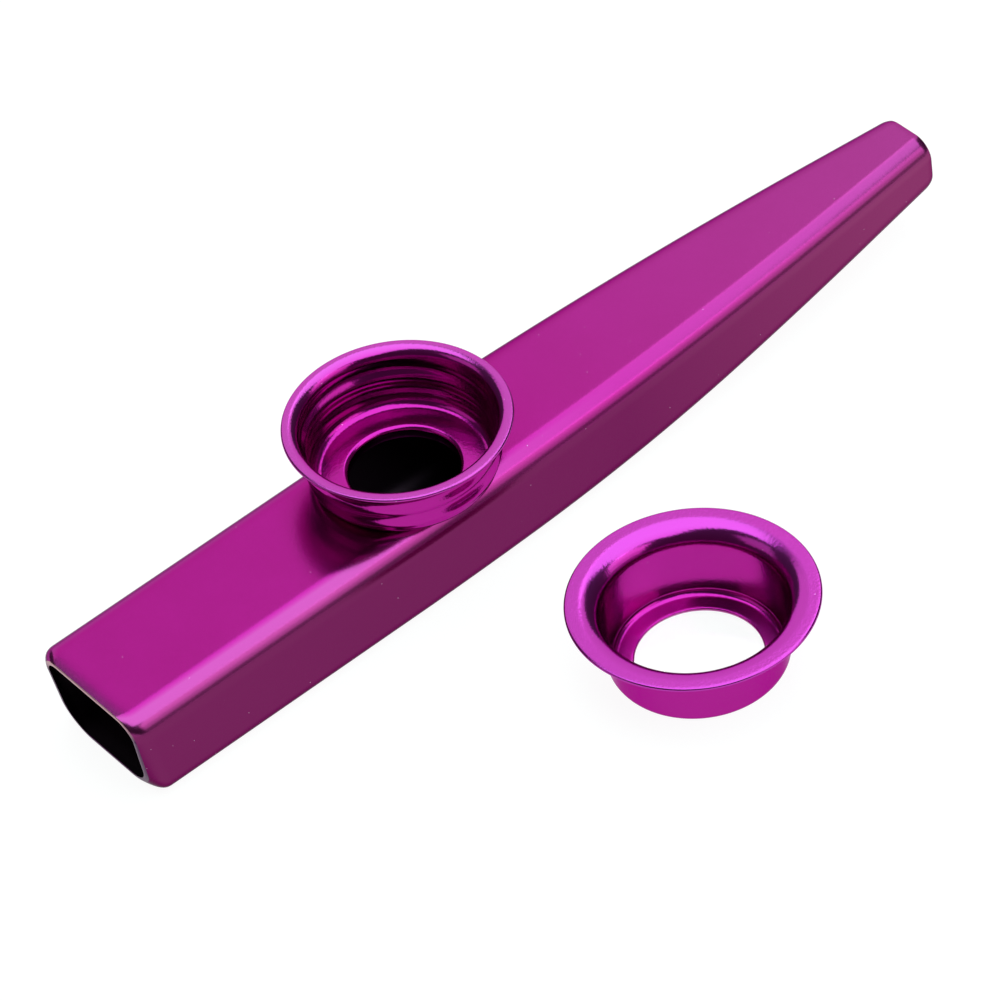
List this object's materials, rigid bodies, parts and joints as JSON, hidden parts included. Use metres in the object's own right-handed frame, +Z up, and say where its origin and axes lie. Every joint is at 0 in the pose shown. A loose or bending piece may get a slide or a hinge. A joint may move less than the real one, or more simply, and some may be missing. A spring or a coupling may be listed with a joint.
{
  "type": "kazoo",
  "caption": "Magenta anodised aluminium kazoo: a tapered tube with a round turret cup on top, a trumpet-flanged retaining cap taken off beside it, and the clear film that it holds",
  "frame": {"origin": "on the turret cup's axis, in the plane that the tube rests on", "axes": "+X along the tube from the open end to the mouthpiece end, +Y across it, +Z up through the turret cup"},
  "size_m": [0.1222, 0.0623, 0.0199],
  "materials": {
    "anodised_body": "satin anodised aluminium, deep magenta, with a bare metal edge at the open end",
    "anodised_trim": "bright satin anodised aluminium, pink magenta",
    "clear_film": "thin clear plastic film"
  },
  "bodies": {
    "kazoo": {"body_tube": "anodised_body", "turret_cup": "anodised_trim"},
    "cap": {"retaining_cap": "anodised_trim"},
    "membrane": {"membrane_film": "clear_film"}
  },
  "joints": [
    {"name": "cap_lift", "type": "slide", "parent": "kazoo", "child": "cap", "axis": [-0.1491, 0.53, 0.8348], "range_m": [0, 0.0671]},
    {"name": "film_lift", "type": "slide", "parent": "cap", "child": "membrane", "axis": [0, 0, 1], "range_m": [0, 0.012]}
  ]
}
